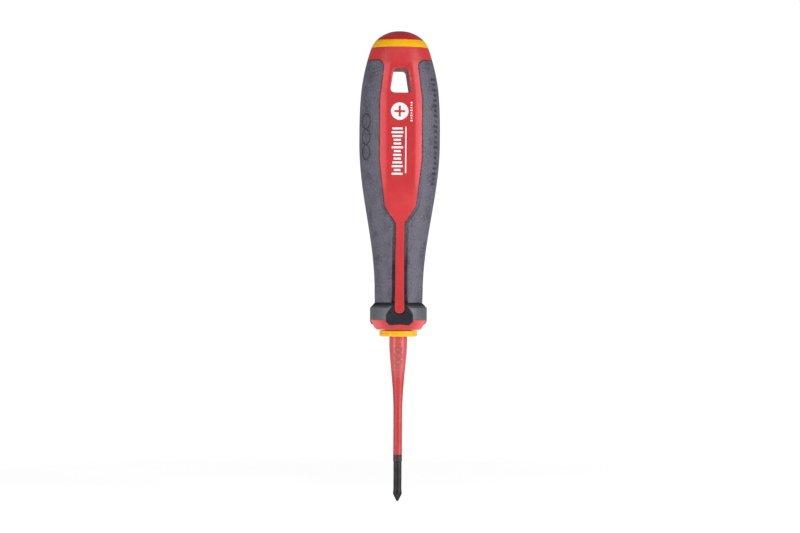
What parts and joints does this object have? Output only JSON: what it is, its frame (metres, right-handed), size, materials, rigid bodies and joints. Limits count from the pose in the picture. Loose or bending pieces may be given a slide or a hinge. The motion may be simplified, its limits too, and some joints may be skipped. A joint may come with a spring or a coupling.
{
  "type": "insulated screwdriver",
  "caption": "Slim insulated Phillips screwdriver with a three-lobed soft-grip handle, tapered sleeve, anti-roll collar and hanging hole.",
  "frame": {"origin": "on the blade's axis, at the blunt end of the tip", "axes": "+Z along the blade's axis from the tip towards the butt; -Y is the way the labelled panel, the front anti-roll flat and the hanging hole's front mouth face; +X is to the right as the panel is seen with the butt up"},
  "size_m": [0.0296, 0.0288, 0.1714],
  "materials": {
    "blade": "black burnished, bare at the tip",
    "sleeve": "semi-gloss red insulation",
    "core": "semi-gloss yellow",
    "shell": "semi-gloss red with a fine moulded grain",
    "grip": "matt grey soft grip with a fine grain",
    "collar": "satin dark grey",
    "band": "semi-gloss yellow",
    "cap": "gloss crimson"
  },
  "bodies": {
    "root": {"blade": "blade", "blade_sleeve": "sleeve", "handle_core": "core", "handle_shell": "shell", "grip_left": "grip", "grip_right": "grip", "grip_back": "grip", "anti_roll_collar": "collar", "rear_band": "band", "end_cap": "cap"}
  },
  "joints": []
}
